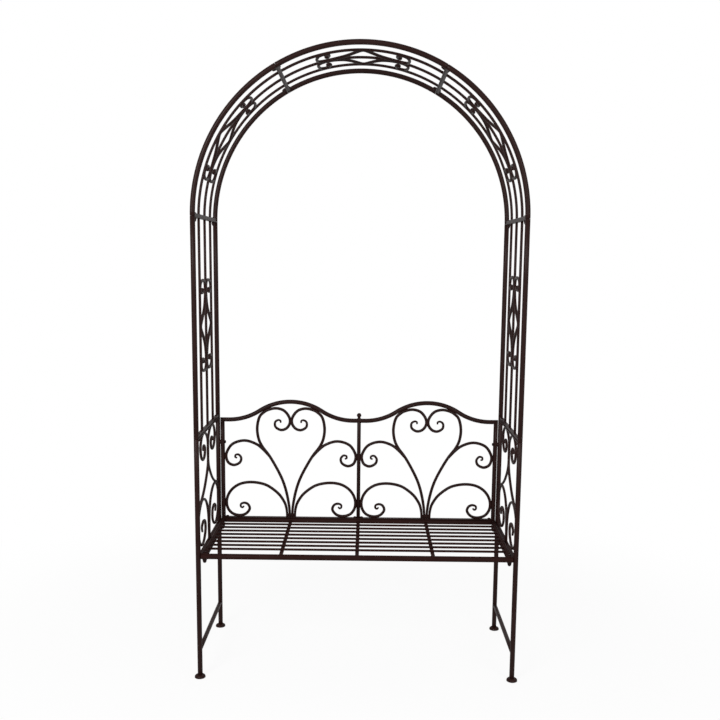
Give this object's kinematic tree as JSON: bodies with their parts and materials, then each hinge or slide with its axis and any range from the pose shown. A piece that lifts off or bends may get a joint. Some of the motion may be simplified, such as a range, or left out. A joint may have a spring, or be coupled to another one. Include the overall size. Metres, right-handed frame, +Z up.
{
  "type": "garden arch bench",
  "caption": "Round-headed steel garden arch with a slatted seat and a scrolled backrest bolted between its two sides.",
  "frame": {"origin": "on the ground, under the middle of the arch and seat", "axes": "+X along the seat towards the right end as seen from the front, +Y towards the backrest, +Z up"},
  "size_m": [1.107, 0.492, 2.1],
  "materials": {
    "frame_paint": "dark brown satin powder coat with a fine grain",
    "foot_paint": "dark brown satin powder coat, a little scuffed at the rim",
    "bolt_paint": "dark brown coated steel, semi-gloss"
  },
  "bodies": {
    "root": {"left_front_foot": "foot_paint", "left_front_post": "frame_paint", "left_rear_foot": "foot_paint", "left_rear_post": "frame_paint", "left_stretcher": "frame_paint", "left_seat_ledge": "frame_paint", "left_side_scrolls": "frame_paint", "right_front_foot": "foot_paint", "right_front_post": "frame_paint", "right_rear_foot": "foot_paint", "right_rear_post": "frame_paint", "right_stretcher": "frame_paint", "right_seat_ledge": "frame_paint", "right_side_scrolls": "frame_paint", "seat_front_rail": "frame_paint", "seat_rear_rail": "frame_paint", "seat_left_rail": "frame_paint", "seat_right_rail": "frame_paint", "seat_slats": "frame_paint", "back_top_rail_left": "frame_paint", "back_left_post": "frame_paint", "back_scrolls_left": "frame_paint", "back_top_rail_right": "frame_paint", "back_right_post": "frame_paint", "back_scrolls_right": "frame_paint", "back_centre_post": "frame_paint", "back_bottom_strip": "frame_paint", "arch_left_upright_front_tube": "frame_paint", "arch_left_upright_rear_tube": "frame_paint", "arch_left_upright_panel": "frame_paint", "arch_left_curve_front_tube": "frame_paint", "arch_left_curve_rear_tube": "frame_paint", "arch_left_curve_panel": "frame_paint", "arch_crown_front_tube": "frame_paint", "arch_crown_rear_tube": "frame_paint", "arch_crown_panel": "frame_paint", "arch_right_curve_front_tube": "frame_paint", "arch_right_curve_rear_tube": "frame_paint", "arch_right_curve_panel": "frame_paint", "arch_right_upright_front_tube": "frame_paint", "arch_right_upright_rear_tube": "frame_paint", "arch_right_upright_panel": "frame_paint", "seat_left_front_bolt": "bolt_paint", "seat_left_rear_bolt": "bolt_paint", "back_left_clip_bolt": "bolt_paint", "seat_right_front_bolt": "bolt_paint", "seat_right_rear_bolt": "bolt_paint", "back_right_clip_bolt": "bolt_paint", "bench_left_front_joint_bolt": "bolt_paint", "bench_left_rear_joint_bolt": "bolt_paint", "bench_right_front_joint_bolt": "bolt_paint", "bench_right_rear_joint_bolt": "bolt_paint", "spring_left_front_joint_bolt": "bolt_paint", "spring_left_rear_joint_bolt": "bolt_paint", "spring_right_front_joint_bolt": "bolt_paint", "spring_right_rear_joint_bolt": "bolt_paint", "crown_left_front_joint_bolt": "bolt_paint", "crown_left_rear_joint_bolt": "bolt_paint", "crown_right_front_joint_bolt": "bolt_paint", "crown_right_rear_joint_bolt": "bolt_paint"}
  },
  "joints": []
}
